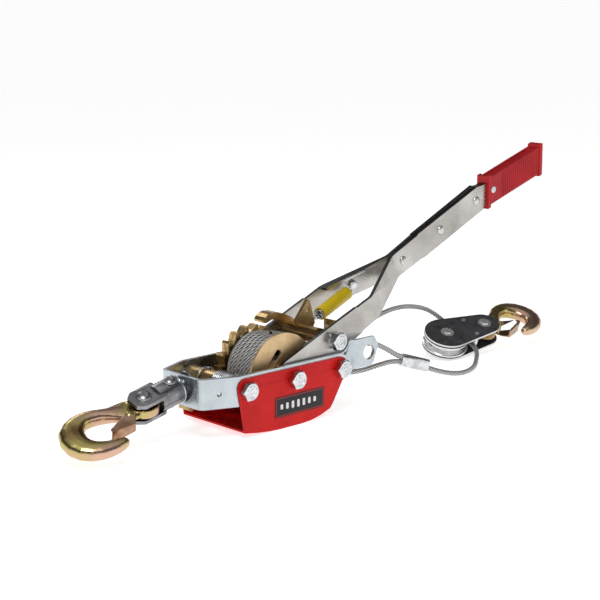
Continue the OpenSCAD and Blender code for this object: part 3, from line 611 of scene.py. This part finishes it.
def tension_spring():
    """Close-wound coil inside the sleeve with a hook at each end."""
    start, end = long_axis("spring_sleeve")
    axis = (end - start).normalized()
    side = axis.cross(Vector((0, 0, 1))).normalized()
    up = side.cross(axis)
    reach = [v.co.dot(axis) for v in NODES["tension_spring"].data.vertices]
    foot = start - axis * (start.dot(axis) - min(reach))
    head = start + axis * (max(reach) - start.dot(axis))
    body_from, body_to = foot + axis * TENSION_ENDS, head - axis * TENSION_ENDS
    turns = (body_to - body_from).length / TENSION_PITCH
    coil = helix(body_from, axis, side, TENSION_R, TENSION_PITCH, turns, 24)

    def hook(at, out, first):
        centre = at + out * HOOK_CENTRE
        turn = [centre + HOOK_R * (out * -math.cos(a) + up * math.sin(a))
                for a in [math.radians(20 * k) for k in range(0, 16)]]
        return [first, at + up * HOOK_NECK] + turn

    line = list(reversed(hook(body_from, -axis, coil[0]))) + coil[1:-1] + hook(body_to, axis, coil[-1])
    spring = wire("tension_coil", line, TENSION_WIRE_R, 8)
    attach(spring, "spring_body")
    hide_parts("tension_spring")
    dress(spring, FASTENER)


tension_spring()


# ---------- bolt heads ----------
RING_BODIES = {
    "front_bolt": "winch_frame", "axle_bolt": "winch_frame", "rear_bolt": "winch_frame", "pawl_bolt": "handle",
}
RING_RADII = (5.6 * MM, 2.6 * MM)
RING_WIRE_R = 0.38 * MM
RING_SINK = 0.05 * MM


def head_rings():
    """Two forged rings on the face of each bolt head."""
    for node, body in RING_BODIES.items():
        low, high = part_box(node)
        centre = Vector(((low[0] + high[0]) / 2, low[1] + RING_SINK, (low[2] + high[2]) / 2))
        for k, radius in enumerate(RING_RADII):
            ring = [centre + radius * Vector((math.cos(a), 0, math.sin(a)))
                    for a in [math.radians(7.5 * n) for n in range(49)]]
            mark = wire(f"{node}_ring_{k + 1}", ring, RING_WIRE_R, 8)
            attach(mark, body)
            dress(mark, FASTENER)


head_rings()


# ---------- label ----------
def slab(name, low, high, body, material):
    """Thin raised mark with its corners in the XZ plane."""
    bm = bmesh.new()
    bmesh.ops.create_cube(bm, size=1)
    centre = (Vector(low) + Vector(high)) / 2
    size = Vector(high) - Vector(low)
    stretch = Matrix.Translation(centre) @ Matrix.Diagonal((*size, 1))
    bmesh.ops.transform(bm, matrix=stretch, verts=bm.verts)
    edges = [e for e in bm.edges if abs(e.verts[0].co.y - e.verts[1].co.y) > 1e-7]
    corner = min(size.x, size.z) * 0.3
    bmesh.ops.bevel(bm, geom=edges, offset=corner, segments=3, affect="EDGES", profile=0.5)
    mesh = bpy.data.meshes.new(name)
    bm.to_mesh(mesh)
    bm.free()
    obj = link(name, mesh)
    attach(obj, body)
    dress(obj, material)
    return obj


LABEL_INSET = 1.1 * MM
LABEL_LINE = 0.55 * MM
MARK_OUT, MARK_IN = 0.04 * MM, 0.1 * MM  # how far a mark stands out of and reaches into the plate
BARS = 7
BAR_FIRST, BAR_PITCH, BAR_W = 6 * MM, 7.4 * MM, 3.4 * MM
BAR_SHORT, BAR_RISE = 2.2 * MM, 1.6 * MM


def label_marks():
    """Red border line and a plain pattern of bars."""
    low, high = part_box("label_plate")
    face = low[1]
    top, bottom = high[2] - LABEL_INSET, low[2] + LABEL_INSET
    left, right = low[0] + LABEL_INSET, high[0] - LABEL_INSET
    marks = [
        ("label_line_top", left, right, top - LABEL_LINE, top),
        ("label_line_bottom", left, right, bottom, bottom + LABEL_LINE),
        ("label_line_left", left, left + LABEL_LINE, bottom, top),
        ("label_line_right", right - LABEL_LINE, right, bottom, top),
    ]
    for name, x0, x1, z0, z1 in marks:
        slab(name, (x0, face - MARK_OUT, z0), (x1, face + MARK_IN, z1), "winch_frame", LABEL_RED)
    middle = (top + bottom) / 2
    for i in range(BARS):
        x0 = left + BAR_FIRST + BAR_PITCH * i
        tall = BAR_SHORT + BAR_RISE * math.sin(math.pi * (i + 0.5) / BARS)
        low_corner = (x0, face - MARK_OUT, middle - tall)
        high_corner = (x0 + BAR_W, face + MARK_IN, middle + tall)
        slab(f"label_bar_{i + 1}", low_corner, high_corner, "winch_frame", LABEL_WHITE)


label_marks()


# ---------- floor and light ----------
FLOOR_HALF = 40
FLOOR_GLOW = 0.7
FLOOR_TONES = [(0.3, (0.86, 0.86, 0.86)), (0.7, (0.88, 0.88, 0.88))]
SKY_BANDS = [(0.0, 1.0), (0.24, 0.85), (0.34, 0.10), (0.74, 0.05), (0.86, 0.38), (1.0, 0.7)]
LAMP_AIM = Vector((0.1, 0, 0.05))
LAMPS = (  # name, place, size, watts
    ("key", (-0.7, -0.5, 1.5), 0.6, 9),
    ("fill", (1.1, -1.3, 0.7), 0.8, 1.5),
    ("back", (0.3, 1.3, 1.2), 0.6, 3),
)


def white_floor():
    bm = bmesh.new()
    bmesh.ops.create_grid(bm, x_segments=1, y_segments=1, size=FLOOR_HALF)
    mesh = bpy.data.meshes.new("floor")
    bm.to_mesh(mesh)
    bm.free()
    floor = link("floor", mesh)
    material, nodes, links, bsdf = new_material("floor_pale")
    links.new(ramp(nodes, links, noise(nodes, links, 3, 3), FLOOR_TONES), bsdf.inputs["Base Color"])
    bsdf.inputs["Roughness"].default_value = 0.7
    bsdf.inputs["Emission Color"].default_value = (1, 1, 1, 1)
    bsdf.inputs["Emission Strength"].default_value = FLOOR_GLOW
    dress(floor, material)


def banded_sky():
    """Bright below and overhead with a dark band between, as a photo tent reflects in metal."""
    world = bpy.data.worlds.new("studio")
    bpy.context.scene.world = world
    world.use_nodes = True
    nodes, links = world.node_tree.nodes, world.node_tree.links
    coords = nodes.new("ShaderNodeTexCoord")
    split = nodes.new("ShaderNodeSeparateXYZ")
    links.new(coords.outputs["Generated"], split.inputs["Vector"])
    stops = [(place, (value, value, value)) for place, value in SKY_BANDS]
    links.new(ramp(nodes, links, split.outputs["Z"], stops), nodes["Background"].inputs["Color"])
    nodes["Background"].inputs["Strength"].default_value = 1.0


def lamps():
    for name, place, size, power in LAMPS:
        light = bpy.data.lights.new(name, "AREA")
        light.size = size
        light.energy = power
        lamp = bpy.data.objects.new(name, light)
        lamp.location = place
        lamp.rotation_euler = (LAMP_AIM - Vector(place)).to_track_quat("-Z", "Y").to_euler()
        bpy.context.scene.collection.objects.link(lamp)


white_floor()
banded_sky()
lamps()
